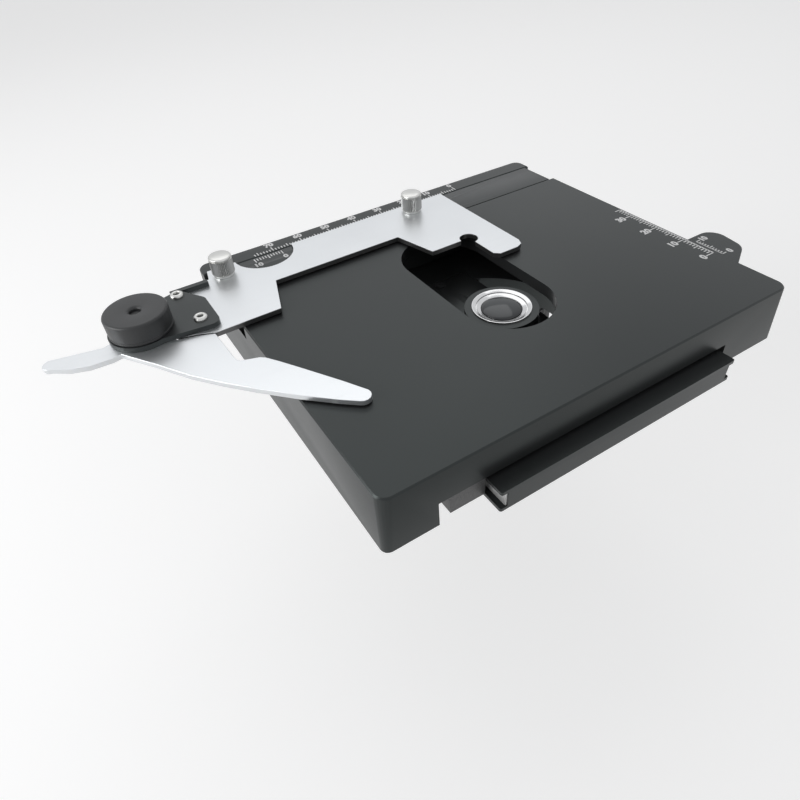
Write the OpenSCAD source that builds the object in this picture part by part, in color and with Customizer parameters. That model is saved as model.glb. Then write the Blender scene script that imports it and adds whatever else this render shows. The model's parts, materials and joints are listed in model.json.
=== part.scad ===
// Mechanical microscope stage: a two-axis rack and pinion stage with a
// spring-loaded slide holder, a fixed in-stage condenser and coaxial knobs.
// Origin: the middle of the stage bolts on the underside of the base plate.
// X runs to the user's right, Y to the back and Z up.
// It is drawn with the top plate at its rearmost and the holder near its left stop.

/* [Top plate] */
// width of the top plate
plate_w = 126; // [120:1:140]
// depth of the top plate with its rear rail
plate_l = 110; // [106:1:116]
// from the plate's front edge to the middle of its slot's front end
front_to_axis = 39; // [37:1:42]
// thickness of the deck
deck_t = 3.4; // [2.8:0.1:3.6]
// thickness of the skirt round the deck
skirt_t = 3; // [2:0.5:4]
// radius of the upright corners
corner_r = 3; // [2:0.5:5]
// width of the light slot
slot_w = 26; // [24:1:30]

/* [Travel] */
// travel of the top plate, front to back
y_travel = 30; // [24:1:30]
// travel of the slide holder, left to right
x_travel = 70; // [60:1:72]
// how far the holder stands from its left stop
x_from_stop = 3; // [1:1:6]

/* [Base] */
// width of the base plate
base_w = 76; // [74:1:78]
// depth of the base plate
base_l = 102; // [98:1:104]
// thickness of the base plate
base_t = 6.5; // [6:0.5:8]
// how far the base plate stands in front of the top plate
base_front = 5; // [3:1:8]
// radius of the light hole in the base plate
hole_r = 23; // [21:0.5:24]
// spacing of the stage bolts, left to right
bolt_dx = 60; // [58:1:62]
// spacing of the stage bolts, front to back
bolt_dy = 64; // [62:1:68]
// radius of the clearance holes for the stage bolts
bolt_r = 2.2; // [2:0.1:2.7]

/* [Rack and pinion] */
// gear module of both drives
gear_m = 0.8; // [0.8:0.05:0.85]
// teeth on each pinion
gear_n = 16; // [16:1:16]
// face width of the X rack
x_face = 2.6; // [2.2:0.1:3.2]

/* [Slider] */
// width of the slider bar, front to back
bar_w = 13.1; // [12.5:0.1:14]
// height of the slider bar with its tongues
bar_h = 4.7; // [4.4:0.1:5.4]
// width of the fixed rail behind the slider bar
rail_w = 6.5; // [6:0.1:8]

/* [Slide holder] */
// thickness of the holder plate and of the finger
holder_t = 1.5; // [1.2:0.1:2]
// width of the glass slide that it takes
slide_w = 26; // [25:0.5:27]
// radius of the pivot cap
cap_r = 8.2; // [7.6:0.1:8.6]
// height of the pivot cap
cap_h = 5.7; // [5:0.1:7]
// radius of the thumb screw heads
thumb_r = 3.35; // [3:0.05:4]
// height of the thumb screw heads
thumb_h = 6.4; // [5:0.1:8]

/* [Condenser] */
// radius of the condenser's nose
nose_r = 10.1; // [9.5:0.1:11]
// radius of the top lens
lens_r = 6.2; // [5.5:0.1:7]

/* [Knobs] */
// radius of the upper knob, for Y
y_knob_r = 13; // [11:0.5:14]
// radius of the lower knob, for X
x_knob_r = 10.5; // [9:0.5:12]
// length of the drop from the base's underside to the upper knob
knob_drop = 22; // [18:1:30]

/* [Hidden] */
$fn = 48;
eps = 0.01;
// running gap of a slide and of a shaft, and the open gap round the slider bar
run = 0.05;
side_gap = 0.4;

// heights
skirt_z = 0.5;
draft = 0.5;
floor_z = base_t + 0.6;
floor_t = 2.2;
x_gear_z = floor_z + floor_t + 0.4;
bar_z = x_gear_z + x_face;
tongue_t = 1.5;
deck_z = bar_z + bar_h;
under_deck = deck_z - deck_t;
holder_z = deck_z + side_gap;
holder_top = holder_z + holder_t;
groove_h = base_t - 2;
groove_z = 1;
groove_d = 1.5;
strip_t = 0.4;

// places along Y
front_y = -front_to_axis;
back_y = plate_l - front_to_axis;
bar_y1 = back_y - rail_w - side_gap;
bar_y0 = bar_y1 - bar_w;
seam_y = bar_y0 - side_gap;
bar_mid = (bar_y0 + bar_y1) / 2;
rib_w = 7;
tongue_w = 2.1;
base_y0 = front_y - base_front;
base_y1 = base_y0 + base_l;
base_mid = 1.2;
base_x1 = base_mid + base_w / 2;

// gears
pitch_r = gear_m * gear_n / 2;
pitch = PI * gear_m;
backlash = 0.12;
rack_back = 2.6;
shaft_x = base_x1 + 1.6 + pitch_r;
shaft_y = bar_y0 + 2.5 - pitch_r;
shaft_r = 2;
sleeve_r = 3.5;

// slider and holder
bar_x0 = -plate_w / 2 + 1;
bar_x1 = plate_w / 2 - 2;
jaw_x = 10.6;
slide_back = 31;
pivot = [-86, 42.5];
pivot_plate_t = 1.4;
pin_r = 2;
pp_top = holder_top + pivot_plate_t;
thumb_at = [-58.4, 6.8];

// knobs
y_knob_h = 14;
x_knob_h = 16;
y_knob_z = -knob_drop - y_knob_h;
x_knob_z = y_knob_z - 3 - x_knob_h;

// light hole and condenser
hole_y = 6.5;
lens_axis = [-0.6, 1.4];
nose_z = deck_z - 2.7;
cell_r = nose_r + 5.9;
// angle, length and width of the condenser's three feet
spokes = [[90, hole_y + hole_r - 2.2, 22], [210, hole_r - 4.3, 6], [330, hole_r - 4.3, 6]];

black = [0.16, 0.17, 0.17];
satin = [0.84, 0.85, 0.86];

// ---------- shapes that repeat ----------

module tube_hole(x, y, r, z0, z1) {
    translate([x, y, z0]) cylinder(h = z1 - z0, r = r);
}

// a rectangle from low corner a to high corner b with round corners
module round_rect(a, b, r) {
    w = b - a;
    translate([a.x + r, a.y]) square([w.x - 2 * r, w.y]);
    translate([a.x, a.y + r]) square([w.x, w.y - 2 * r]);
    for (x = [a.x + r, b.x - r], y = [a.y + r, b.y - r])
        translate([x, y]) circle(r = r);
}

// the cast outline of the top plate: wider at its foot, with a softened top edge
module drafted_plate(a, b) {
    ch = 0.4;
    foot = [draft, draft];
    hull() {
        translate([0, 0, skirt_z]) linear_extrude(eps) round_rect(a - foot, b + foot, corner_r - 1);
        translate([0, 0, deck_z - ch - eps]) linear_extrude(eps) round_rect(a, b, corner_r);
        translate([0, 0, deck_z - eps]) linear_extrude(eps)
            round_rect(a + [ch, ch], b - [ch, ch], corner_r - ch);
    }
}

// a machine screw with its head below z and its shank going up from it
module screw_up(x, y, z, head_r, head_h, shank_r, length) {
    translate([x, y, z - head_h]) difference() {
        union() {
            cylinder(h = head_h, r = head_r);
            translate([0, 0, head_h - eps]) cylinder(h = length + eps, r = shank_r);
        }
        translate([0, 0, -eps]) cylinder(h = head_h * 0.6, r = head_r * 0.5, $fn = 6);
    }
}

function arc(c, r, a0, a1, n) =
    [for (i = [0 : n]) c + r * [cos(a0 + (a1 - a0) * i / n), sin(a0 + (a1 - a0) * i / n)]];

// the point at radius r and angle a from c
function polar(c, r, a) = c + r * [cos(a), sin(a)];

// ---------- gears ----------

// half the angle of an involute tooth at radius r
function inv_deg(t) = tan(t) * 180 / PI - t;
function half_tooth(r) = 90 / gear_n - backlash / 2 / pitch_r * 180 / PI + inv_deg(20)
    - inv_deg(acos(min(1, pitch_r * cos(20) / r)));

module pinion_2d() {
    root = pitch_r - 1.2 * gear_m;
    tip = pitch_r + 0.95 * gear_m;
    flank = [for (i = [0 : 5]) root + (tip - root) * i / 5];
    circle(r = root + 0.05);
    for (k = [0 : gear_n - 1]) rotate(k * 360 / gear_n)
        polygon(concat([[0, 0]],
            [for (r = flank) polar([0, 0], r, -half_tooth(r))],
            [for (i = [5 : -1 : 0]) polar([0, 0], flank[i], half_tooth(flank[i]))]));
}

module pinion(z, h, bore) {
    translate([shaft_x, shaft_y, z]) difference() {
        linear_extrude(h) pinion_2d();
        translate([0, 0, -1]) cylinder(h = h + 2, r = bore);
    }
}

// a rack along X with its pitch line on the X axis, teeth to -Y and a gap at x = 0
module rack_2d(from, to) {
    half = pitch / 4 - backlash / 2;
    slope = tan(20);
    tip = 0.95 * gear_m;
    root = 1.2 * gear_m;
    translate([from, root - eps]) square([to - from, rack_back]);
    for (k = [ceil(from / pitch) : floor(to / pitch) - 1]) translate([(k + 0.5) * pitch, 0])
        polygon([[-half - root * slope, root], [-half + tip * slope, -tip],
            [half - tip * slope, -tip], [half + root * slope, root]]);
}

// ---------- base ----------

module base_2d() {
    difference() {
        round_rect([base_x1 - base_w, base_y0], [base_x1, base_y1], 0.6);
        translate([0, hole_y]) circle(r = hole_r);
    }
}

module spoke_2d(r0, extra, wider) {
    for (s = spokes) rotate(s[0]) translate([r0, -s[2] / 2 - wider])
        square([s[1] + extra - r0, s[2] + 2 * wider]);
}

// the children on the condenser's axis
module on_lens_axis() translate([lens_axis.x, lens_axis.y, 0]) children();

bolt_places = [for (x = [-1, 1], y = [-1, 1]) [x * bolt_dx / 2, y * bolt_dy / 2]];
// the vernier's arm lies in a recess under the base and passes below the right skirt
arm_x = base_x1 - 9;
arm_y = [-19, -9];
arm_z = 0.1;
arm_t = groove_z - arm_z;
arm_w = arm_y[1] - arm_y[0];
arm_mid = (arm_y[0] + arm_y[1]) / 2;
arm_screws = [[arm_x + 3.5, arm_y[0] + 2.5], [arm_x + 3.5, arm_y[1] - 2.5]];

module base_plate() color(black) {
    difference() {
        linear_extrude(base_t) base_2d();
        // guide grooves along both sides
        for (s = [-1, 1]) translate([base_mid + s * (base_w / 2 + 5 - groove_d - strip_t),
                (base_y0 + base_y1) / 2, groove_z + groove_h / 2])
            cube([10, base_l + 2, groove_h], center = true);
        // seats of the condenser's feet
        on_lens_axis() translate([0, 0, base_t - 2]) linear_extrude(3) spoke_2d(cell_r, 4.1, 0.1);
        on_lens_axis() for (s = spokes) rotate(s[0]) tube_hole(s[1] + 1.9, 0, 0.9, 1.5, base_t);
        for (p = bolt_places) {
            tube_hole(p.x, p.y, bolt_r, -1, base_t + 1);
            tube_hole(p.x, p.y, bolt_r * 1.85, base_t - 3.6, base_t + 1);
        }
        // recess and screws of the vernier's arm
        translate([arm_x - 0.2, arm_y[0] - 0.2, -1])
            cube([20, arm_w + 0.4, groove_z + 1]);
        translate([base_x1 - groove_d - strip_t, arm_y[0] - 0.2, -1])
            cube([20, arm_w + 0.4, groove_z + 1.2]);
        for (p = arm_screws) {
            tube_hole(p.x, p.y, 1.05, 0, base_t + 1);
            tube_hole(p.x, p.y, 2.1, base_t - 3, base_t + 1);
        }
    }
}

// bright steel strips on the bottoms of the guide grooves
module guide_strips() color(satin) {
    z = groove_z + run;
    h = groove_h - 2 * run;
    translate([base_x1 - base_w + groove_d, base_y0 + 0.3, z]) cube([strip_t, base_l - 0.6, h]);
    translate([base_x1 - groove_d - strip_t, base_y0 + 0.3, z])
        cube([strip_t, y_rack_y0 - 0.4 - base_y0, h]);
}

module condenser_cell() color([0.2, 0.2, 0.21]) on_lens_axis() {
    difference() {
        union() {
            tube_hole(0, 0, cell_r, 0.5, base_t - 1);
            tube_hole(0, 0, nose_r + 1.4, base_t - 1 - eps, base_t + 1.5);
            tube_hole(0, 0, nose_r, base_t, nose_z);
            translate([0, 0, base_t - 2]) linear_extrude(1.8) spoke_2d(cell_r - 6, 4, 0);
        }
        tube_hole(0, 0, lens_r + 2, nose_z - 1.8, nose_z + 1);
        tube_hole(0, 0, lens_r, 4, nose_z);
        tube_hole(0, 0, lens_r + 3, -1, 4 + eps);
        for (s = spokes) rotate(s[0]) tube_hole(s[1] + 1.9, 0, 0.9, 0, base_t);
    }
}

module condenser_screws() color(satin) on_lens_axis() {
    for (s = spokes) rotate([0, 0, s[0]]) translate([s[1] + 1.9, 0, base_t - 0.2])
        rotate([180, 0, 0]) screw_up(0, 0, 0, 1.6, 0.35, 0.85, 4);
}

module lens_bezel() color([0.9, 0.9, 0.9]) on_lens_axis() {
    rotate_extrude() polygon([[lens_r - 0.6, nose_z - 1.8], [lens_r + 2, nose_z - 1.8],
        [lens_r + 2, nose_z + 0.1], [lens_r + 1.2, nose_z + 0.5], [lens_r + 0.2, nose_z - 0.1],
        [lens_r - 0.6, nose_z - 0.7]]);
}

module top_lens() color([0.8, 0.86, 0.88, 0.6]) on_lens_axis() {
    z = nose_z - 1.8;
    rotate_extrude() polygon(concat([[0, z - 5], [lens_r - 0.03, z - 5], [lens_r - 0.03, z]],
        [[lens_r - 0.6, z], [lens_r - 0.6, nose_z - 0.9]],
        [for (i = [1 : 8]) [(lens_r - 0.6) * cos(i * 11.25), nose_z - 0.9 + 0.9 * sin(i * 11.25)]]));
}

y_rack_y0 = shaft_y - y_travel - 5;

module y_rack() color(satin) {
    from = y_rack_y0;
    to = base_y1 - 1;
    translate([base_x1 + 1.6, shaft_y, groove_z]) rotate(90) linear_extrude(groove_h)
        intersection() {
            rack_2d(from - shaft_y, to - shaft_y);
            translate([-200, -5]) square([400, 5 + 1.6 + groove_d + strip_t]);
        }
}

module vernier_bracket() color(black) {
    out = plate_w / 2 + draft + side_gap;
    difference() {
        union() {
            translate([arm_x, arm_y[0], arm_z]) cube([out + 2.4 - arm_x, arm_w, arm_t]);
            translate([out, arm_y[0], arm_z]) cube([2.4, arm_w, deck_z - 4.6 - arm_z]);
            translate([out, arm_y[0], deck_z - 6.4]) cube([6.4, arm_w, 1.8]);
        }
        for (p = arm_screws) tube_hole(p.x, p.y, 1, arm_z - 1, groove_z + 1);
        tube_hole(out + 4.4, arm_mid, 1.05, deck_z - 7, deck_z - 4);
    }
}

module bracket_screws() color(satin) {
    for (p = arm_screws) translate([p.x, p.y, base_t - 3])
        rotate([180, 0, 0]) screw_up(0, 0, 0, 1.9, 1.4, 1, base_t - 3 - arm_z - 0.3);
    screw_up(plate_w / 2 + draft + side_gap + 4.4, arm_mid, deck_z - 6.4, 1.8, 1.2, 1, 3.6);
}

module y_vernier() color(black) {
    x0 = plate_w / 2 + side_gap;
    difference() {
        hull() {
            translate([x0, -23.2, deck_z - 4.6]) cube([1, 17.4, 3.6]);
            tube_hole(x0 + 6.9, -10.3, 4.5, deck_z - 4.6, deck_z - 1);
            tube_hole(x0 + 5.4, -14.8, 5.2, deck_z - 4.6, deck_z - 1);
        }
        tube_hole(x0 + draft + 4.4, arm_mid, 1.05, deck_z - 5, deck_z - 2.6);
    }
}

// ---------- top plate ----------

// posts in front of and behind the pinions, which carry the knob bearing
post = [8, 6.6];
post_x = base_x1 + 3.4;
post_y = [for (s = [-1, 1]) shaft_y + s * (pitch_r + gear_m + 1.6 + post.y / 2)];
rail_screw_x = [-52, -20, 20, 52];
gib_w = 9.4;
gib_y0 = front_y + skirt_t + 0.5;
left_gib_y1 = seam_y - rib_w - 2;
right_gib_y1 = shaft_y - y_travel - 5 - 1.5;
left_screw_y = [gib_y0 + 6, (gib_y0 + left_gib_y1) / 2, left_gib_y1 - 6];
right_screw_y = [gib_y0 + 6, right_gib_y1 - 6];
gib_mid = base_w / 2 + run + gib_w / 2;
gib_screw_at = concat([for (y = left_screw_y) [base_mid - gib_mid, y]],
    [for (y = right_screw_y) [base_mid + gib_mid, y]]);

module top_plate() color(black) {
    hw = plate_w / 2;
    iw = hw - skirt_t;
    rib_y = seam_y - rib_w;
    difference() {
        union() {
            difference() {
                drafted_plate([-hw, front_y], [hw, back_y]);
                // the slider's channel behind the deck, and the step at the deck's left end
                translate([-hw - 2, seam_y, floor_z + floor_t])
                    cube([plate_w + 4, back_y - seam_y + 2, deck_z]);
                translate([-hw - 2, slide_back + 0.7, under_deck - 0.6])
                    cube([3.1, seam_y - slide_back, deck_z]);
                // the hollow under the deck, and under the channel
                translate([-iw, front_y + skirt_t, -1])
                    cube([2 * iw, rib_y - front_y - skirt_t, under_deck + 1]);
                translate([-iw, rib_y - eps, -1])
                    cube([2 * iw, back_y - skirt_t - rib_y, floor_z + 1]);
            }
            translate([post_x, post_y[0] - post.y / 2, skirt_z])
                cube([post.x, post.y, under_deck - skirt_z + eps]);
            translate([post_x, post_y[1] - post.y / 2, skirt_z])
                cube([post.x, post.y, floor_z - skirt_z + eps]);
        }
        // light slot
        translate([0, 0, under_deck - 1]) linear_extrude(deck_t + 2) union() {
            circle(r = slot_w / 2);
            translate([0, y_travel - 1]) circle(r = slot_w / 2);
            translate([-slot_w / 2, 0]) square([slot_w, y_travel - 1]);
        }
        // the base passes under the front skirt and through the back one
        translate([base_x1 - base_w - 12.9, front_y - 1, -1])
            cube([base_w + 14.9, skirt_t + 2, floor_z + 1.4]);
        translate([base_x1 - base_w - 3, back_y - skirt_t - 1, -1])
            cube([base_w + 8, skirt_t + 2, floor_z + 1]);
        // room for the vernier's arm under the right skirt, over the whole travel
        translate([iw - 1, arm_y[0] - 0.6, -1])
            cube([skirt_t + 2, arm_w + y_travel + 1.2, groove_z + 1.25]);
        // the slider's front groove
        translate([-hw - 1, seam_y - tongue_w - run, bar_z - run])
            cube([plate_w + 2, 5, tongue_t + 2 * run]);
        // room for the Y pinion, pocket and bearing of the X pinion
        tube_hole(shaft_x, shaft_y, pitch_r + gear_m + 0.6, -1, floor_z - eps);
        tube_hole(shaft_x, shaft_y, pitch_r + gear_m + 0.6, floor_z + floor_t, bar_z + eps);
        tube_hole(shaft_x, shaft_y, shaft_r + run, floor_z - 1, floor_z + floor_t + 1);
        for (y = post_y) tube_hole(post_x + post.x / 2, y, 1.25, -1, floor_z);
        for (x = rail_screw_x) {
            tube_hole(x, back_y - rail_w / 2, 1.1, floor_z - 1, floor_z + floor_t + 1);
            tube_hole(x, back_y - rail_w / 2, 2, floor_z - 4, floor_z + 1.2);
        }
        for (p = gib_screw_at) tube_hole(p.x, p.y, 1.05, under_deck - 1, under_deck + 2.2);
    }
}

module rear_rail() color(black) {
    hw = plate_w / 2;
    z0 = floor_z + floor_t;
    y0 = back_y - rail_w;
    difference() {
        hull() {
            translate([-hw, y0, z0]) cube([plate_w, 2, deck_z - z0 - 0.4]);
            translate([-hw + 0.4, y0 + 0.4, z0]) cube([plate_w - 0.8, 2, deck_z - z0]);
            for (x = [-hw + 3, hw - 3]) {
                tube_hole(x, back_y - 3, 3, z0, deck_z - 0.4);
                tube_hole(x, back_y - 3, 2.6, z0, deck_z);
            }
        }
        translate([-hw - 1, y0 - 5, bar_z - run])
            cube([plate_w + 2, 5 + tongue_w + run, tongue_t + 2 * run]);
        for (x = rail_screw_x) tube_hole(x, back_y - rail_w / 2, 1.05, z0 - 1, z0 + 5);
    }
}

module rail_screws() color(satin) {
    for (x = rail_screw_x) screw_up(x, back_y - rail_w / 2, floor_z + 1.2, 1.9, 1.1, 1, 5.2);
}

// a gib beside the base, on the side s, with its tongue in the base's groove
module gib(s, y1, toe) {
    z0 = groove_z + run;
    difference() {
        union() {
            translate([base_mid + s * gib_mid, (gib_y0 + y1) / 2, (z0 + under_deck) / 2])
                cube([gib_w, y1 - gib_y0, under_deck - z0], center = true);
            translate([base_mid + s * (gib_mid - gib_w / 2 - groove_d / 2 + eps),
                    (gib_y0 + y1) / 2, groove_z + groove_h / 2])
                cube([groove_d + eps, y1 - gib_y0, groove_h - 2 * run], center = true);
            // toe in the front skirt's gap
            if (toe > 0) translate([base_mid + s * gib_mid, gib_y0, (z0 + floor_z + 0.35) / 2])
                cube([gib_w, 2 * toe, floor_z + 0.35 - z0], center = true);
        }
        for (p = gib_screw_at) {
            tube_hole(p.x, p.y, 1.15, 0, under_deck + 1);
            tube_hole(p.x, p.y, 2.2, 0, z0 + 3);
        }
    }
}

module left_gib() color([0.3, 0.31, 0.32]) gib(-1, left_gib_y1, 3.1);

module right_gib() color([0.3, 0.31, 0.32]) gib(1, right_gib_y1, 0);

module gib_screws() color(satin) {
    z = groove_z + run + 3;
    for (p = gib_screw_at) screw_up(p.x, p.y, z, 2, 1.8, 1, under_deck - z + 2);
}

module knob_bearing() color(black) {
    x = post_x + post.x / 2;
    difference() {
        union() {
            hull() {
                tube_hole(shaft_x, shaft_y, sleeve_r + 3.2, skirt_z - 4.5, skirt_z);
                for (y = post_y) tube_hole(x, y, 3.8, skirt_z - 4.5, skirt_z);
            }
            tube_hole(shaft_x, shaft_y, sleeve_r + 2.6, skirt_z - 13, skirt_z);
        }
        tube_hole(shaft_x, shaft_y, sleeve_r + run, skirt_z - 14, skirt_z + 1);
        for (y = post_y) {
            tube_hole(x, y, 1.3, skirt_z - 5, skirt_z + 1);
            tube_hole(x, y, 2.6, skirt_z - 5, skirt_z - 2.4);
        }
    }
}

module bearing_screws() color(satin) {
    for (y = post_y) screw_up(post_x + post.x / 2, y, skirt_z - 2.4, 2.4, 2, 1.2, 7.5);
}

// ---------- slider and slide holder ----------

rack_screw_x = [-18, 14, 46];
x_rack_x = [shaft_x - (x_travel - x_from_stop) - 4, shaft_x + x_from_stop + 4];
x_rack_y = shaft_y + pitch_r;

module slider_bar() color(black) {
    difference() {
        union() {
            translate([bar_x0, bar_y0, bar_z]) cube([bar_x1 - bar_x0, bar_w, bar_h]);
            translate([bar_x0, bar_y0 + side_gap - tongue_w, bar_z])
                cube([bar_x1 - bar_x0, bar_w - 2 * side_gap + 2 * tongue_w, tongue_t]);
            for (x = thumb_at) tube_hole(x, bar_mid, 5, deck_z - eps, holder_z);
        }
        for (x = thumb_at) tube_hole(x, bar_mid, 1.5, bar_z - 1, holder_z + 1);
        for (x = rack_screw_x)
            tube_hole(x, x_rack_y + 3.4, 0.95, bar_z - 1, bar_z + 3);
    }
}

module x_rack() color(satin) {
    difference() {
        translate([shaft_x, x_rack_y, x_gear_z]) linear_extrude(x_face) union() {
            rack_2d(x_rack_x[0] - shaft_x, x_rack_x[1] - shaft_x);
            translate([x_rack_x[0] - shaft_x, 1])
                square([x_rack_x[1] - x_rack_x[0], 5.2]);
        }
        for (x = rack_screw_x) {
            tube_hole(x, x_rack_y + 3.4, 0.95, x_gear_z - 1, bar_z + 1);
            tube_hole(x, x_rack_y + 3.4, 1.7, x_gear_z - 1, x_gear_z + 1.2);
        }
    }
}

module rack_screws() color(satin) {
    for (x = rack_screw_x)
        screw_up(x, x_rack_y + 3.4, x_gear_z + 1.2, 1.6, 1.1, 0.9, x_face - 1.2 + 2.8);
}

// the corners of the holder plate, round the slide's back edge and its right end
stop_y = slide_back;
hold_back = bar_y1 - 1.9;
hold_front = slide_back + 14;
jaw_y = slide_back - slide_w / 2 - 0.1;
hold_r = jaw_x + 10.9;

module holder_2d() {
    difference() {
        polygon([[hold_r, hold_back], [-62.2, hold_back], [-63.2, hold_back - 4.6],
            [-67.2, hold_back - 6], [-80, hold_back - 8.6], [-79.2, stop_y + 3.5],
            [-74.5, stop_y + 2.1], [-70.4, stop_y], [-52, stop_y], [-47.5, hold_front],
            [-6.4, hold_front], [-2.9, stop_y], [jaw_x, stop_y],
            [jaw_x, jaw_y + 1.5], [jaw_x + 1.5, jaw_y], [hold_r - 3, jaw_y],
            [hold_r - 0.9, jaw_y + 0.9], [hold_r, jaw_y + 3]]);
        // window over the X vernier, relief at the slide's corner, room for the finger's hub
        translate([-44.2, hold_back + 0.1]) circle(r = 9.2);
        translate([jaw_x - 0.3, stop_y - 0.1]) circle(r = 2.8);
        translate(pivot) circle(r = 8.4);
    }
}

module holder_plate() color(satin) {
    difference() {
        translate([0, 0, holder_z]) linear_extrude(holder_t) holder_2d();
        for (x = thumb_at) tube_hole(x, bar_mid, 1.6, holder_z - 1, holder_top + 1);
        for (p = pivot_screw_at) tube_hole(p.x, p.y, 0.95, holder_z - 1, holder_top + 1);
    }
}

// a round head with fine straight knurls
module knurled(r, h, n, depth) {
    linear_extrude(h) polygon([for (i = [0 : 2 * n - 1])
        polar([0, 0], i % 2 == 0 ? r : r - depth, i * 180 / n)]);
}

module thumb_screws() color([0.7, 0.71, 0.7]) {
    for (x = thumb_at) translate([x, bar_mid, holder_top]) {
        cylinder(h = 0.8, r = thumb_r - 0.5);
        translate([0, 0, 0.7]) knurled(thumb_r, thumb_h - 1.5, 30, 0.2);
        translate([0, 0, thumb_h - 1]) rotate_extrude() polygon([[0, 0], [thumb_r - 0.1, 0],
            [thumb_r - 0.1, 0.4], [thumb_r - 0.5, 0.8], [thumb_r * 0.5, 1], [0, 1.05]]);
        translate([0, 0, -holder_t - 4.4]) cylinder(h = holder_t + 4.6, r = 1.45);
    }
}

pivot_screw_at = [[-73.8, 52.1], [-71.8, 37.5]];

module pivot_plate() color(black) {
    difference() {
        translate([0, 0, holder_top]) linear_extrude(pivot_plate_t) union() {
            translate(pivot) circle(r = cap_r + 0.4);
            hull() {
                translate([pivot.x, pivot.y - 7.6]) square([1, 10]);
                translate([pivot.x, pivot.y + 8]) square([1, 0.5]);
                translate([-70, pivot.y - 7.1]) circle(r = 2.4, $fn = 32);
                translate([-70, 46]) circle(r = 2.4, $fn = 32);
                translate([-73.8, 52]) circle(r = 2.4, $fn = 32);
            }
            translate([-75, 54]) square([10.8, 1.6]);
        }
        tube_hole(pivot.x, pivot.y, pin_r, holder_z, pp_top + 1);
        for (p = pivot_screw_at) tube_hole(p.x, p.y, 1, holder_z, pp_top + 1);
    }
}

module pivot_screws() color([0.88, 0.88, 0.88]) {
    for (p = pivot_screw_at) translate([p.x, p.y, pp_top]) difference() {
        union() {
            rotate_extrude() polygon([[0, 0], [1.85, 0], [1.8, 0.4], [1.4, 0.75], [0, 0.95]]);
            translate([0, 0, -pivot_plate_t - holder_t]) cylinder(h = 3, r = 0.9);
        }
        for (a = [20, 110]) rotate(a) translate([-0.95, -0.2, 0.35]) cube([1.9, 0.4, 1]);
    }
}

module pivot_pin() color(satin) {
    translate([pivot.x, pivot.y, holder_z - 0.2]) cylinder(h = 0.6, r = 3.2);
    tube_hole(pivot.x, pivot.y, pin_r, holder_z - 0.2, pp_top + cap_h - 2.9);
}

module pivot_cap() color([0.12, 0.12, 0.12]) {
    translate([pivot.x, pivot.y, pp_top]) rotate_extrude() polygon([[cap_r - 1.5, 0], [cap_r, 0],
        [cap_r, cap_h - 0.6], [cap_r - 0.6, cap_h], [2.4, cap_h], [1.4, cap_h - 0.8],
        [1.4, cap_h - 1.4], [cap_r - 1.5, cap_h - 1.4]]);
}

// one wire of round section, wound round the pivot
wire_r = 0.4;
coil_r = 4;
coil_turns = 3.5;
coil_rise = 1.0;

function coil_at(a) = [coil_r * cos(a), coil_r * sin(a), wire_r + coil_rise * a / 360];
function coil_ring(a, k) = let (c = coil_at(a), t = k * 60)
    [(coil_r + wire_r * cos(t)) * cos(a), (coil_r + wire_r * cos(t)) * sin(a), c.z + wire_r * sin(t)];

module finger_spring() color([0.6, 0.6, 0.62]) {
    steps = 20 * coil_turns;
    points = [for (i = [0 : steps], k = [0 : 5]) coil_ring(i * 18, k)];
    sides = [for (i = [0 : steps - 1], k = [0 : 5])
        [6 * i + k, 6 * i + (k + 1) % 6, 6 * i + 6 + (k + 1) % 6, 6 * i + 6 + k]];
    ends = [[5, 4, 3, 2, 1, 0], [for (k = [0 : 5]) 6 * steps + k]];
    translate([pivot.x, pivot.y, pp_top]) polyhedron(points, concat(sides, ends), convexity = 6);
}

// outer edge from the handle to the tip, then the inner edge back to the hub
finger_path = concat(
    [[-96.5, 42.3], [-109.2, 45.1]],
    arc([-109, 43], 2.05, 115, 265, 6),
    [[-105.5, 38.1], [-100.8, 36.4], [-95.5, 36.1], [-93.2, 36.6]],
    [[-86.9, 27.1], [-81.4, 18.1], [-75.8, 10.8], [-70.2, 4.2], [-62.8, -3.9], [-56.1, -10.5]],
    arc([-51.2, -12], 2.1, 225, 380, 6),
    [[-52.5, -5.2], [-58.5, 5.1], [-61.8, 10.6], [-63.7, 13.5], [-64.9, 14.6], [-66.9, 15.3]],
    arc([-68, 17.9], 2.1, 260, 180, 3),
    [[-70.3, 22.4], [-70.6, stop_y - 0.3], [-74.6, stop_y + 1.5], [-79.5, stop_y + 3]],
    arc(pivot, 7.9, -55, 175, 16));

module slide_finger() color(satin) {
    difference() {
        translate([0, 0, holder_z]) linear_extrude(holder_t - run) polygon(finger_path);
        tube_hole(pivot.x, pivot.y, pin_r + run, holder_z - 1, holder_top + 1);
        tube_hole(pivot.x, pivot.y, 3.3, holder_z - 1, holder_z + 0.45);
    }
}

// ---------- knobs ----------

module x_shaft() color(satin) tube_hole(shaft_x, shaft_y, shaft_r, x_knob_z + 3, bar_z - 0.2);

module x_pinion() color([0.72, 0.62, 0.36]) pinion(x_gear_z - 0.1, x_face - 0.1, shaft_r);

module thrust_collar() color(satin) {
    difference() {
        tube_hole(shaft_x, shaft_y, 4, groove_z + groove_h + 0.7, floor_z - 0.1);
        tube_hole(shaft_x, shaft_y, shaft_r, 0, floor_z);
    }
}

module y_sleeve() color(satin) {
    difference() {
        tube_hole(shaft_x, shaft_y, sleeve_r, y_knob_z, groove_z + groove_h + 0.6);
        tube_hole(shaft_x, shaft_y, shaft_r + run, y_knob_z - 1, groove_z + groove_h + 2);
    }
}

module y_pinion() color([0.72, 0.62, 0.36])
    pinion(groove_z + 0.1, groove_h - 0.2, sleeve_r);

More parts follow.
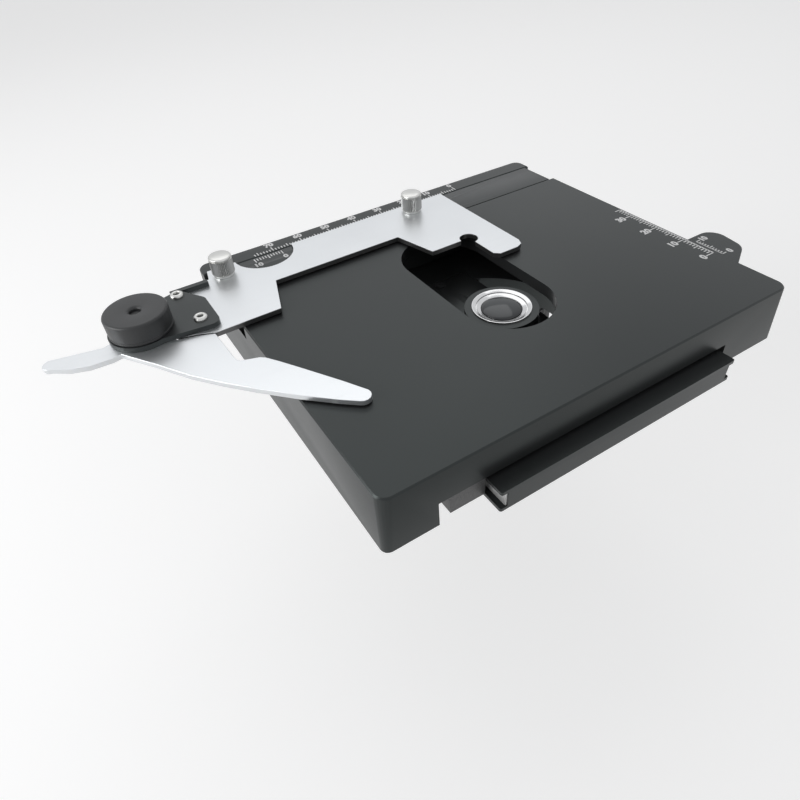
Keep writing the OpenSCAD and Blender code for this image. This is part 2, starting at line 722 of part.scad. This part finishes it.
// a fluted knob with a collar on top, bored for its shaft from the top
module knob(r, z, h, bore, depth) {
    translate([shaft_x, shaft_y, z]) difference() {
        union() {
            translate([0, 0, 0.8]) knurled(r, h - 1.6, 36, 0.45);
            cylinder(h = h, r = r - 0.9);
            translate([0, 0, h - eps]) cylinder(h = 2.2, r = r * 0.55);
        }
        translate([0, 0, h + 2.2 - depth]) cylinder(h = depth + 1, r = bore);
    }
}

module x_knob() color([0.1, 0.1, 0.1])
    knob(x_knob_r, x_knob_z, x_knob_h - 2.2, shaft_r, x_knob_h - 3);

module y_knob() color([0.1, 0.1, 0.1])
    knob(y_knob_r, y_knob_z, y_knob_h - 2.2, sleeve_r, y_knob_h + 1);

base_plate();
guide_strips();
condenser_cell();
condenser_screws();
lens_bezel();
top_lens();
y_rack();
vernier_bracket();
bracket_screws();
y_vernier();
top_plate();
rear_rail();
rail_screws();
left_gib();
right_gib();
gib_screws();
knob_bearing();
bearing_screws();
slider_bar();
x_rack();
rack_screws();
holder_plate();
thumb_screws();
pivot_plate();
pivot_screws();
pivot_pin();
pivot_cap();
finger_spring();
slide_finger();
x_shaft();
x_pinion();
thrust_collar();
x_knob();
y_sleeve();
y_pinion();
y_knob();
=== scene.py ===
"""Looks of a mechanical microscope stage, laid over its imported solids."""
import json
from math import cos, pi, radians, sin

import bmesh
import bpy
from mathutils import Matrix, Vector


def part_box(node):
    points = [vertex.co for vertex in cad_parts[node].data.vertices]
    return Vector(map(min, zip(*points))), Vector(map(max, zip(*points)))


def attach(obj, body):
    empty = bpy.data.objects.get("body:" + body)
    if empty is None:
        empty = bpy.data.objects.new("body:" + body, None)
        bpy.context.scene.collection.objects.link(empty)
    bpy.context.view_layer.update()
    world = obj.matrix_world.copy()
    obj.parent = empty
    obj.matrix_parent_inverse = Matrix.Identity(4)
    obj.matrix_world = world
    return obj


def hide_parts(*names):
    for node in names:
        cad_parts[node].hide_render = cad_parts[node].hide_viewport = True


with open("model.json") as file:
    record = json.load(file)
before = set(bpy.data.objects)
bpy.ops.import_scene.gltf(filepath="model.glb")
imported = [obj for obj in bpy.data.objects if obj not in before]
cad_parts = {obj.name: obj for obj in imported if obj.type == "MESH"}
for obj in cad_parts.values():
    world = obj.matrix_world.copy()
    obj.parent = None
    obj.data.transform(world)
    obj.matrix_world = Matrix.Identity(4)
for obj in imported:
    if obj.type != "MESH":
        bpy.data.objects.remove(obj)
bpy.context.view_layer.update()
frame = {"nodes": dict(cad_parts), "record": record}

MM = 0.001
WELD = 0.002 * MM  # vertices closer than this become one
CLEAR = 0.02  # mm that paint or a screw's head stands clear of the face under it
scene = bpy.context.scene
record = frame["record"]
body_of_node = {n: b for b, nodes in record["behaviour"]["bodies"].items() for n in nodes}


def box_mm(node):
    """The low and the high corner of a node's box, in mm."""
    return [[c / MM for c in corner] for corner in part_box(node)]


def middle(node):
    """The middle of a node's box, left to right and front to back, in mm."""
    low, high = box_mm(node)
    return (low[0] + high[0]) / 2, (low[1] + high[1]) / 2


# ---------- shader expressions ----------

class Value:
    """An output socket of a material. Arithmetic on it adds Math nodes."""

    def __init__(self, shader, out):
        self.shader, self.out = shader, out

    def _math(self, operation, *terms):
        return self.shader.node("ShaderNodeMath", {"operation": operation}, dict(enumerate(terms)))

    def __add__(self, other): return self._math("ADD", self, other)
    def __radd__(self, other): return self._math("ADD", other, self)
    def __sub__(self, other): return self._math("SUBTRACT", self, other)
    def __mul__(self, other): return self._math("MULTIPLY", self, other)

    def ramp(self, low, high):
        """0 below low, 1 above high and smooth between."""
        return self.shader.node("ShaderNodeMapRange", {"interpolation_type": "SMOOTHSTEP"},
                                {0: self, 1: low, 2: high, 3: 0.0, 4: 1.0})


def socket_name(key):
    """The Principled socket that a keyword stands for."""
    return key.replace("_", " ").title().replace("Ior", "IOR")


class Shader:
    """One material with a Principled surface, written in the object's own metres."""

    def __init__(self, name, **fixed):
        self.mat = bpy.data.materials.new(name)
        self.mat.use_nodes = True
        self.tree = self.mat.node_tree
        self.tree.nodes.clear()
        self.surface = self.tree.nodes.new("ShaderNodeBsdfPrincipled")
        output = self.tree.nodes.new("ShaderNodeOutputMaterial")
        self.tree.links.new(self.surface.outputs[0], output.inputs[0])
        self.place = self.node("ShaderNodeTexCoord", out="Object")
        for key, value in fixed.items():
            self.surface.inputs[socket_name(key)].default_value = value

    def node(self, kind, settings=None, inputs=None, out=0):
        made = self.tree.nodes.new(kind)
        for key, value in (settings or {}).items():
            setattr(made, key, value)
        for key, value in (inputs or {}).items():
            self.feed(made.inputs[key], value)
        return Value(self, made.outputs[out])

    def feed(self, socket, value):
        if isinstance(value, Value):
            self.tree.links.new(value.out, socket)
        else:
            socket.default_value = value

    def grain(self, size, detail, stretch=(1, 1, 1), seed=0.0):
        """Noise whose lumps are about size metres across, longer where stretch is below 1."""
        at = self.node("ShaderNodeMapping", {}, {"Vector": self.place, "Scale": stretch,
                                                 "Location": (seed, seed * 0.7, 0)})
        return self.node("ShaderNodeTexNoise", {}, {"Vector": at, "Scale": 1 / size,
                                                    "Detail": detail})

    def axes(self):
        """The place on the surface along X, Y and Z, in metres."""
        made = self.tree.nodes.new("ShaderNodeSeparateXYZ")
        self.feed(made.inputs[0], self.place)
        return [Value(self, out) for out in made.outputs]

    def blend(self, mask, low, high):
        """The colour low where mask is 0 and high where it is 1."""
        return self.node("ShaderNodeMix", {"data_type": "RGBA"},
                         {0: mask, 6: low, 7: high}, out=2)

    def bump(self, height, depth, strength):
        return self.node("ShaderNodeBump", {}, {"Height": height, "Distance": depth,
                                                "Strength": strength})

    def finish(self, **sockets):
        for key, value in sockets.items():
            self.feed(self.surface.inputs[socket_name(key)], value)
        return self.mat


def grey(level, warm=0.0):
    """A grey, warmer where warm is above 0 and cooler where it is below."""
    return (level * (1 + warm), level, level * (1 - warm), 1)


def shade(colour, factor=1.0):
    """A colour times factor, with its alpha."""
    return tuple(c * factor for c in colour) + (1,)


# ---------- materials ----------

def black_paint(name, level=0.018, rough=0.35, peel_size=0.35 * MM):
    """Satin black paint on a casting: fine orange peel, faint handling marks, dust."""
    s = Shader(name, specular_ior_level=0.4, specular_tint=(0.88, 1.0, 0.98, 1))
    peel = s.grain(peel_size, detail=3)
    marks = s.grain(30 * MM, detail=5, seed=3.1)
    dust = s.grain(1.2 * MM, detail=5, seed=7.7).ramp(0.66, 0.8)
    cool = -0.03
    colour = s.blend(marks, grey(level * 0.9, cool), grey(level * 1.15, cool))
    colour = s.blend(dust * 0.05, colour, grey(0.2))
    return s.finish(base_color=colour, roughness=rough - 0.08 + marks * 0.14 + dust * 0.1,
                    normal=s.bump(peel, 0.02 * MM, 0.55))


def satin_metal(name, colour, rough=0.36, metallic=0.9, painted_shade_below_z=None):
    """Bead-blasted and clear-anodised sheet: a fine sparkle with soft cloudy marks.

    Below the top face's height, when one is given, the sheet's sheared edges are darkened: painted
    shade and a painted reflection of the dark deck."""
    s = Shader(name, metallic=metallic)
    blast = s.grain(0.22 * MM, detail=4)
    clouds = s.grain(20 * MM, detail=4, seed=1.7)
    scuffs = s.grain(4 * MM, detail=6, stretch=(0.15, 1.6, 1), seed=5.2).ramp(0.6, 0.72)
    tint = s.blend(clouds, shade(colour, 0.94), shade(colour))
    tint = s.blend(blast * 0.25, tint, grey(0.6))
    # painted shade: the sides below the top face take a dark grey, for their shade and their
    # reflection of the dark deck
    if painted_shade_below_z:
        height = s.axes()[2]
        tint = s.blend(height.ramp(painted_shade_below_z - 0.22 * MM, painted_shade_below_z - 0.1 * MM), grey(0.12), tint)
    return s.finish(base_color=tint,
                    roughness=rough - 0.07 + clouds * 0.12 + scuffs * 0.08,
                    normal=s.bump(blast + scuffs * 0.3, 0.012 * MM, 0.5))


def turned_metal(name, colour, rough=0.25):
    """Bright lathe-turned metal with fine lines round its height."""
    s = Shader(name, metallic=1.0)
    lines = s.grain(0.3 * MM, detail=2, stretch=(0.05, 0.05, 1))
    stain = s.grain(3 * MM, detail=4, seed=2.2)
    return s.finish(base_color=s.blend(stain, shade(colour, 0.85), shade(colour)),
                    roughness=rough - 0.06 + lines * 0.1 + stain * 0.06,
                    normal=s.bump(lines, 0.01 * MM, 0.35))


def moulded_plastic(name, level, rough=0.42):
    """Black moulded plastic with an eroded texture."""
    s = Shader(name)
    erode = s.grain(0.5 * MM, detail=3)
    sheen = s.grain(12 * MM, detail=4, seed=4.4)
    cool = -0.04
    return s.finish(base_color=s.blend(sheen, grey(level * 0.85, cool), grey(level * 1.3, cool)),
                    roughness=rough - 0.06 + sheen * 0.12 + erode * 0.06,
                    normal=s.bump(erode, 0.03 * MM, 0.5))


def scale_paint(name):
    """White paint in the engraved lines, a little uneven."""
    s = Shader(name)
    wear = s.grain(0.6 * MM, detail=3)
    return s.finish(base_color=s.blend(wear, grey(0.8), grey(0.95)), roughness=0.55 + wear * 0.1)


def lens_glass(name, axis, clear_r=3.2, edge_r=6.0):
    """Coated glass, opaque, its dark colour painted shade of the condenser's dark inside, darkening
    into more painted shade from clear_r to edge_r (mm).
    """
    s = Shader(name, specular_ior_level=0.45)
    x, y = (along - at * MM for along, at in zip(s.axes(), axis))
    # painted shade: the glass darkens from clear_r out to edge_r
    edge = (x * x + y * y).ramp((clear_r * MM) ** 2, (edge_r * MM) ** 2)
    film = s.grain(4 * MM, detail=3)
    return s.finish(base_color=s.blend(edge, (0.05, 0.056, 0.06, 1), (0.018, 0.02, 0.022, 1)),
                    roughness=0.04 + film * 0.08)


LENS = middle("top_lens")
SATIN = (0.74, 0.76, 0.775)
MATERIALS = {
    "black_anodised": black_paint("satin_black_paint"),
    "grey_aluminium": satin_metal("machined_gib", (0.05, 0.05, 0.05), 0.45, 0.6),
    "satin_aluminium": satin_metal("satin_aluminium", SATIN),
    "black_steel": black_paint("black_steel", 0.034, 0.34, 0.3 * MM),
    "bright_steel": turned_metal("turned_steel", (0.62, 0.62, 0.61)),
    "nickel": turned_metal("satin_nickel", (0.64, 0.64, 0.62), 0.3),
    "bezel_chrome": turned_metal("polished_bezel", (0.68, 0.68, 0.68), 0.12),
    "gear_brass": turned_metal("gear_brass", (0.72, 0.52, 0.24), 0.3),
    "black_plastic": moulded_plastic("moulded_black", 0.029),
    "lens_glass": lens_glass("coated_lens", LENS),
}
WHITE = scale_paint("scale_white")
# a darker nickel for the knurled band: painted shade of its grooves
KNURL_SHADE_NICKEL = turned_metal("nickel_painted_knurl_shade", (0.42, 0.42, 0.41), 0.34)
# nodes whose own finish is not quite their slot's
FINISH = {
    "guide_strips": satin_metal("ground_strips", (0.72, 0.72, 0.71), 0.4, 0.35),
    "condenser_screws": black_paint("blackened_screws", 0.024, 0.4),
    # the holder's own finish has its sides darkened with painted shade
    "holder_plate": satin_metal("satin_holder_painted_edge_shade", SATIN, painted_shade_below_z=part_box("holder_plate")[1][2]),
}
SLOT = {s["node"]: s["material_slot"] for s in record["subparts"]}


def finish_of(node):
    """A node's material: its own finish, or else its slot's."""
    return FINISH.get(node) or MATERIALS[SLOT[node]]


# ---------- pieces ----------

def add_piece(name, mesh, body, material, smooth=35):
    """A finished mesh as a piece that rides on a body, sharp where it turns past smooth degrees."""
    mesh.shade_smooth()
    mesh.set_sharp_from_angle(angle=radians(smooth))
    mesh.materials.clear()
    mesh.materials.append(material)
    piece = bpy.data.objects.new(name, mesh)
    scene.collection.objects.link(piece)
    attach(piece, body)
    return piece


def to_mesh(name, bm):
    """A bmesh, used up, as a mesh."""
    mesh = bpy.data.meshes.new(name)
    bm.to_mesh(mesh)
    bm.free()
    return mesh


def from_bmesh(name, bm, body, material, smooth=35):
    """A bmesh, used up, as a piece."""
    bmesh.ops.recalc_face_normals(bm, faces=bm.faces)
    return add_piece(name, to_mesh(name, bm), body, material, smooth)


def stand_for(piece, node):
    """Hides the node, so that the piece shows in the node's place."""
    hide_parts(node)
    return piece


def stand_in(name, bm, node, smooth):
    """A finer shape that takes a node's place, with its body and its finish."""
    piece = from_bmesh(name, bm, body_of_node[node], finish_of(node), smooth)
    return stand_for(piece, node)


def repaint(piece, material, chosen):
    """Gives the faces that chosen picks a second material."""
    piece.data.materials.append(material)
    for face in piece.data.polygons:
        if chosen(face):
            face.material_index = 1


def softened(node, width):
    """The node's own shape with fine rounded edges, as a casting or sheet has them."""
    one_face, an_edge = radians(0.6), radians(40)
    bm = bmesh.new()
    bm.from_mesh(frame["nodes"][node].data)
    bmesh.ops.remove_doubles(bm, verts=bm.verts, dist=WELD)
    bmesh.ops.dissolve_limit(bm, angle_limit=one_face, verts=bm.verts, edges=bm.edges)
    name = node + "_soft"
    piece = add_piece(name, to_mesh(name, bm), body_of_node[node], finish_of(node))
    edge = piece.modifiers.new("edge", "BEVEL")
    edge.width = width * MM
    edge.segments = 2
    edge.limit_method = "ANGLE"
    edge.angle_limit = an_edge
    edge.harden_normals = True
    return stand_for(piece, node)


def turned(profile, at, steps=96):
    """A profile of (radius, z) in mm spun round the upright axis through at."""
    bm = bmesh.new()
    verts = [bm.verts.new(((at[0] + r) * MM, at[1] * MM, z * MM)) for r, z in profile]
    edges = [bm.edges.new(pair) for pair in zip(verts, verts[1:])]
    bmesh.ops.spin(bm, geom=verts + edges, cent=(at[0] * MM, at[1] * MM, 0), axis=(0, 0, 1),
                   angle=2 * pi, steps=steps, use_merge=True)
    bmesh.ops.remove_doubles(bm, verts=bm.verts, dist=WELD)
    return bm


def knurl(bm, at, low, high, radius, depth, every):
    """Pulls every other column of a turned band in, to leave straight knurls."""
    skin = 0.05
    for v in bm.verts:
        dx, dy = v.co.x - at[0] * MM, v.co.y - at[1] * MM
        r = (dx * dx + dy * dy) ** 0.5
        if low * MM < v.co.z < high * MM and r > (radius - skin) * MM:
            turn = round(Vector((dx, dy)).angle_signed(Vector((1, 0))) / (2 * pi / every))
            if turn % 2:
                v.co.x -= dx / r * depth * MM
                v.co.y -= dy / r * depth * MM


def merge_mesh(bm, mesh, matrix=Matrix()):
    """Adds a mesh, used up, to a bmesh, moved by matrix."""
    mesh.transform(matrix)
    bm.from_mesh(mesh)
    bpy.data.meshes.remove(mesh)


# ---------- engraved scales, in mm ----------

SIDE_GAP = 0.4  # the open gap between the slider bar and the rear rail
LINE = 0.36  # width of a painted line
FONT_SIZE = 1.38  # the font's size for a figure of height 1
FIGURE_WEIGHT = 0.16  # how far a figure's strokes are swollen
Y_ZERO = -16.4  # the Y scale starts here and counts towards the back
Y_LAST = 35
Y_READING = -1  # where the Y vernier's zero stands on it
X_ZERO = 30  # the X scale starts here and counts to the left
X_LAST = 76
X_READING = 68.2  # where the X vernier's zero stands on it
VERNIER_PARTS = 10
VERNIER_STEP = 0.9
# heights of the figures
Y_FIGURE = 2.3
X_FIGURE = 2.1
VERNIER_FIGURE = 2.0

deck_z = box_mm("top_plate")[1][2]
vernier_z = box_mm("y_vernier")[1][2]
rail_low, rail_high = box_mm("rear_rail")
plate_right = rail_high[0]
rail_front = rail_low[1]
bar_back = rail_front - SIDE_GAP


def bar(bm, x0, x1, y0, y1, z):
    """A painted line: a flat bar on the surface at z, all in mm."""
    size = Vector((x1 - x0, y1 - y0, 2 * CLEAR)) * MM
    centre = Vector(((x0 + x1) / 2, (y0 + y1) / 2, z)) * MM
    bmesh.ops.create_cube(bm, size=1, matrix=Matrix.LocRotScale(centre, None, size))


def figure(bm, text, x, y, z, height, align="CENTER"):
    """A painted number, upright as seen from the front, at x, y."""
    curve = bpy.data.curves.new("figure", "FONT")
    curve.body = text
    curve.size = height * FONT_SIZE * MM
    curve.align_x = align
    curve.align_y = "CENTER"
    curve.extrude = CLEAR * MM
    curve.offset = FIGURE_WEIGHT * MM
    curve.resolution_u = 3
    drawn = bpy.data.objects.new("figure", curve)
    scene.collection.objects.link(drawn)
    bpy.context.view_layer.update()
    mesh = bpy.data.meshes.new_from_object(drawn.evaluated_get(
        bpy.context.evaluated_depsgraph_get()))
    bpy.data.objects.remove(drawn)
    bpy.data.curves.remove(curve)
    merge_mesh(bm, mesh, Matrix.Translation(Vector((x, y, z)) * MM))


def tick_length(i, tens=3.0, fives=2.2, ones=1.5):
    """Long at the tens, middling at the fives, short between."""
    return tens if i % 10 == 0 else fives if i % 5 == 0 else ones


def y_scale():
    """Millimetre scale along the top plate's right edge, with its base line."""
    bm = bmesh.new()
    line_x = plate_right - 1.0
    half = LINE * 0.7
    bar(bm, line_x - half, line_x + half, Y_ZERO, Y_ZERO + Y_LAST, deck_z)
    for i in range(Y_LAST + 1):
        y = Y_ZERO + i
        bar(bm, line_x - tick_length(i), line_x, y - LINE / 2, y + LINE / 2, deck_z)
        if i % 10 == 0:
            figure(bm, str(i), line_x - 3.3, y, deck_z, Y_FIGURE, "RIGHT")
    from_bmesh("y_scale", bm, "plate", WHITE)


def y_vernier_scale():
    """Ten divisions in nine millimetres on the fixed vernier beside the plate."""
    bm = bmesh.new()
    line_x = plate_right + 2.2
    zero = Y_ZERO + Y_READING
    last = zero + VERNIER_PARTS * VERNIER_STEP
    bar(bm, line_x - LINE / 2, line_x + LINE / 2, zero, last, vernier_z)
    for i in range(VERNIER_PARTS + 1):
        y = zero + i * VERNIER_STEP
        long = tick_length(i, tens=1.6, fives=1.6, ones=1.0)
        bar(bm, line_x, line_x + long, y - LINE / 2, y + LINE / 2, vernier_z)
    figure(bm, "0", line_x + 3.2, zero, vernier_z, VERNIER_FIGURE)
    figure(bm, "10", line_x + 3.0, last, vernier_z, VERNIER_FIGURE)
    from_bmesh("y_vernier_scale", bm, "base", WHITE)


def x_scale():
    """Millimetre scale along the front edge of the rear rail, growing to the left."""
    bm = bmesh.new()
    front = rail_front + 0.5
    for i in range(X_LAST + 1):
        x = X_ZERO - i
        bar(bm, x - LINE / 2, x + LINE / 2, front, front + tick_length(i) * 0.8, deck_z)
        if i % 10 == 0:
            figure(bm, str(i), x, front + 4.0, deck_z, X_FIGURE)
    from_bmesh("x_scale", bm, "plate", WHITE)


def x_vernier_scale():
    """Ten divisions in nine millimetres along the slider bar's back edge."""
    bm = bmesh.new()
    back = bar_back - 0.6
    zero = X_ZERO - X_READING
    for i in range(VERNIER_PARTS + 1):
        x = zero - i * VERNIER_STEP
        long = tick_length(i, tens=2.2)
        bar(bm, x - LINE / 2, x + LINE / 2, back - long, back, deck_z)
    figure(bm, "0", zero, back - 4.0, deck_z, VERNIER_FIGURE)
    last = zero - VERNIER_PARTS * VERNIER_STEP
    figure(bm, "10", last, back - 4.0, deck_z, VERNIER_FIGURE)
    from_bmesh("x_vernier_scale", bm, "slider", WHITE)


# ---------- turned pieces ----------

def thumb_screw_heads():
    """Two nickel thumb screws: a waist, a knurled barrel and a domed crown."""
    low, high = box_mm("thumb_screws")
    foot = box_mm("holder_plate")[1][2]
    top = high[2]
    r = (high[1] - low[1]) / 2
    mid_y = (low[1] + high[1]) / 2
    shank, reach = 1.45, 4
    waist, neck = r - 0.35, r - 0.28
    band0, band1 = foot + 1.0, top - 1.25
    knurls = 80
    profile = [(0, foot - reach), (shank, foot - reach), (shank, foot + CLEAR),
               (waist - 0.1, foot + CLEAR), (waist, foot + 0.15), (waist, foot + 0.7),
               (r - 0.15, foot + 0.75), (r - 0.02, band0 - 0.05), (r, band0), (r, band1),
               (r - 0.02, band1 + 0.05), (neck, top - 1.1), (neck, top - 0.92),
               (r - 0.08, top - 0.8), (r - 0.05, top - 0.62), (r - 0.2, top - 0.42),
               (r - 0.55, top - 0.25), (r * 0.6, top - 0.1), (r * 0.3, top - 0.02), (0, top)]
    bm = bmesh.new()
    for x in (low[0] + r, high[0] - r):
        screw = turned(profile, (x, mid_y), knurls)
        knurl(screw, (x, mid_y), band0 - 0.02, band1 + 0.03, r, 0.24, knurls)
        merge_mesh(bm, to_mesh("screw", screw))
    heads = stand_in("thumb_screw_heads", bm, "thumb_screws", 50)
    # the knurled band takes the darker nickel: painted shade of the knurling
    repaint(heads, KNURL_SHADE_NICKEL, lambda face: band0 < face.center.z / MM < band1)


def pivot_screw_heads():
    """Two small bright pan-head screws, their sunk middles painted dark as painted shade of a
    recess.
    """
    low, high = box_mm("pivot_screws")
    foot = box_mm("pivot_plate")[1][2]
    z0, z1 = low[2], high[2]
    r, shank, sunk = 1.85, 0.9, z1 - 0.6
    profile = [(0, z0), (shank, z0), (shank, foot + CLEAR), (r, foot + CLEAR), (r, foot + 0.3),
               (r - 0.12, z1 - 0.3), (r - 0.4, z1 - 0.08), (r - 0.7, z1), (r - 0.95, z1 - 0.1),
               (r - 1.05, z1 - 0.3), (r - 1.1, sunk), (0, sunk)]
    bm = bmesh.new()
    for at in ((low[0] + r, high[1] - r), (high[0] - r, low[1] + r)):
        merge_mesh(bm, to_mesh("screw", turned(profile, at, 48)))
    heads = stand_in("pivot_screw_heads", bm, "pivot_screws", 40)
    # painted shade: the flat sunk middles take black steel, standing in for the dark of a recess
    repaint(heads, MATERIALS["black_steel"], lambda face:
            abs(face.center.z / MM - sunk) < 0.05 and face.normal.z > 0.9)


def pivot_cap_shell():
    """The black cap over the finger's pivot, with a rolled rim and a sunk middle hole."""
    low, high = box_mm("pivot_cap")
    r = (high[0] - low[0]) / 2
    z0, z1 = low[2], high[2]
    wall, rim, hole = 1.5, 0.75, 1.45
    ceiling = z1 - 1.38
    profile = [(r - wall, z0 + CLEAR), (r - 0.15, z0 + CLEAR), (r, z0 + 0.15), (r, z0 + 0.7),
               (r - 0.12, z0 + 0.8), (r - 0.12, z0 + 0.95), (r, z0 + 1.05)]
    profile += [(r - rim + rim * cos(a), z1 - rim + rim * sin(a))
                for a in (radians(15 * k) for k in range(7))]
    profile += [(r * 0.62, z1 - 0.02), (2.3, z1 - 0.1), (1.9, z1 - 0.22), (1.6, z1 - 0.5),
                (hole, z1 - 0.7), (hole, z1 - 1.25), (0, z1 - 1.25), (0, ceiling),
                (r - wall, ceiling), (r - wall, z0 + CLEAR)]
    stand_in("pivot_cap_shell", turned(profile, middle("pivot_cap")), "pivot_cap", 40)


def condenser_lens():
    """The domed top lens, stepped where its bezel holds it."""
    low, high = box_mm("top_lens")
    r = (high[0] - low[0]) / 2
    crown = r - 0.65
    z0, step = low[2], low[2] + 4.9
    rim, rise = high[2] - 0.45, 0.95
    profile = [(0, z0), (r, z0), (r, step), (crown, step), (crown, rim)]
    profile += [(crown * cos(a), rim + rise * sin(a))
                for a in (radians(6 * k) for k in range(1, 15))] + [(0, rim + rise)]
    stand_in("condenser_lens", turned(profile, LENS), "top_lens", 50)


def bezel_ring():
    """The bright ring that holds the top lens: two cones that fall inwards, a groove between."""
    low, high = box_mm("lens_bezel")
    r = (high[0] - low[0]) / 2
    inner = r - 2.55
    z0, z1 = low[2], high[2]
    groove = z1 - 0.75
    profile = [(inner, z0), (r, z0), (r, z1 - 0.15), (r - 0.08, z1 - 0.03), (r - 0.18, z1),
               (r - 0.3, z1 - 0.03), (r - 1.15, z1 - 0.38), (r - 1.2, groove),
               (r - 1.42, groove), (r - 1.46, z1 - 0.5), (r - 1.6, z1 - 0.53),
               (inner, z1 - 0.93), (inner, z0)]
    stand_in("bezel_ring", turned(profile, LENS), "lens_bezel", 35)


# how wide each piece's edges are rounded, in mm
SOFT_EDGES = {
    "top_plate": 0.25, "rear_rail": 0.18, "slider_bar": 0.12, "holder_plate": 0.14,
    "slide_finger": 0.14, "pivot_plate": 0.15, "base_plate": 0.25, "y_vernier": 0.3,
    "vernier_bracket": 0.2, "left_gib": 0.2, "right_gib": 0.2, "knob_bearing": 0.3,
    "condenser_cell": 0.2, "x_knob": 0.12, "y_knob": 0.12, "thrust_collar": 0.15,
}

for node_name, edge_width in SOFT_EDGES.items():
    softened(node_name, edge_width)
for node_name, node_object in frame["nodes"].items():
    node_object.data.materials.clear()
    node_object.data.materials.append(finish_of(node_name))
thumb_screw_heads()
pivot_screw_heads()
pivot_cap_shell()
condenser_lens()
bezel_ring()
y_scale()
y_vernier_scale()
x_scale()
x_vernier_scale()


# ---------- room, lights and camera ----------

def seen_by_eye(tree):
    """1 for rays of the camera, of gloss and through glass, 0 for the light on the object."""
    path = tree.nodes.new("ShaderNodeLightPath")
    total = path.outputs["Is Camera Ray"]
    for name in ("Is Glossy Ray", "Is Transmission Ray"):
        either = tree.nodes.new("ShaderNodeMath")
        either.operation = "MAXIMUM"
        tree.links.new(total, either.inputs[0])
        tree.links.new(path.outputs[name], either.inputs[1])
        total = either.outputs[0]
    return total


def lifted(tree, low, high):
    """The level low for the light on the object and high for what the eye sees."""
    mix = tree.nodes.new("ShaderNodeMix")
    mix.inputs[2].default_value = low
    mix.inputs[3].default_value = high
    tree.links.new(seen_by_eye(tree), mix.inputs[0])
    return mix.outputs[0]


def floor():
    """A pale matt floor that looks near white and keeps the object's shadow."""
    below, half = -85 * MM, 3
    bm = bmesh.new()
    bmesh.ops.create_grid(bm, x_segments=1, y_segments=1, size=half,
                          matrix=Matrix.Translation((0, 0, below)))
    mesh = to_mesh("floor", bm)
    mat = bpy.data.materials.new("pale_floor")
    mat.use_nodes = True
    surface = mat.node_tree.nodes["Principled BSDF"]
    surface.inputs["Base Color"].default_value = grey(0.6)
    surface.inputs["Roughness"].default_value = 0.9
    surface.inputs["Emission Strength"].default_value = 1.0
    mat.node_tree.links.new(lifted(mat.node_tree, 0.0, 0.54), surface.inputs["Emission Color"])
    mesh.materials.append(mat)
    obj = bpy.data.objects.new("floor", mesh)
    scene.collection.objects.link(obj)


def area_light(name, place, width, height, power):
    """A rectangular lamp that faces the origin."""
    light = bpy.data.lights.new(name, "AREA")
    light.shape = "RECTANGLE"
    light.size, light.size_y = width, height
    light.energy = power
    obj = bpy.data.objects.new(name, light)
    scene.collection.objects.link(obj)
    obj.location = place
    obj.rotation_euler = (-Vector(place)).to_track_quat("-Z", "Y").to_euler()


def sky():
    """A pale sky that the eye sees brighter than it lights the object."""
    world = bpy.data.worlds.new("studio")
    world.use_nodes = True
    back = world.node_tree.nodes["Background"]
    back.inputs["Color"].default_value = (0.97, 0.98, 1.0, 1)
    world.node_tree.links.new(lifted(world.node_tree, 0.28, 0.9), back.inputs["Strength"])
    scene.world = world


def photo_camera():
    """The photograph's viewpoint, worked out from the plate's two vanishing points."""
    eye = Vector((-92.754, -103.827, 108.8)) * MM
    right = Vector((0.84596, -0.53011, -0.05770))
    up = Vector((0.39616, 0.55237, 0.73345))
    data = bpy.data.cameras.new("photo_camera")
    data.lens = 27.246
    data.sensor_width = 36
    data.clip_start = 1 * MM
    cam = bpy.data.objects.new("photo_camera", data)
    scene.collection.objects.link(cam)
    turn = Matrix((right, up, right.cross(up))).transposed().to_4x4()
    cam.matrix_world = Matrix.Translation(eye) @ turn
    scene.camera = cam


floor()
sky()
area_light("overhead", (0.1, 0.45, 0.7), width=0.9, height=0.6, power=1.3)
area_light("left", (-0.75, 0.1, 0.25), width=0.5, height=0.4, power=3.4)
area_light("front", (0.2, -0.6, 0.6), width=0.5, height=0.4, power=0.2)
photo_camera()
scene.view_settings.view_transform = "Standard"
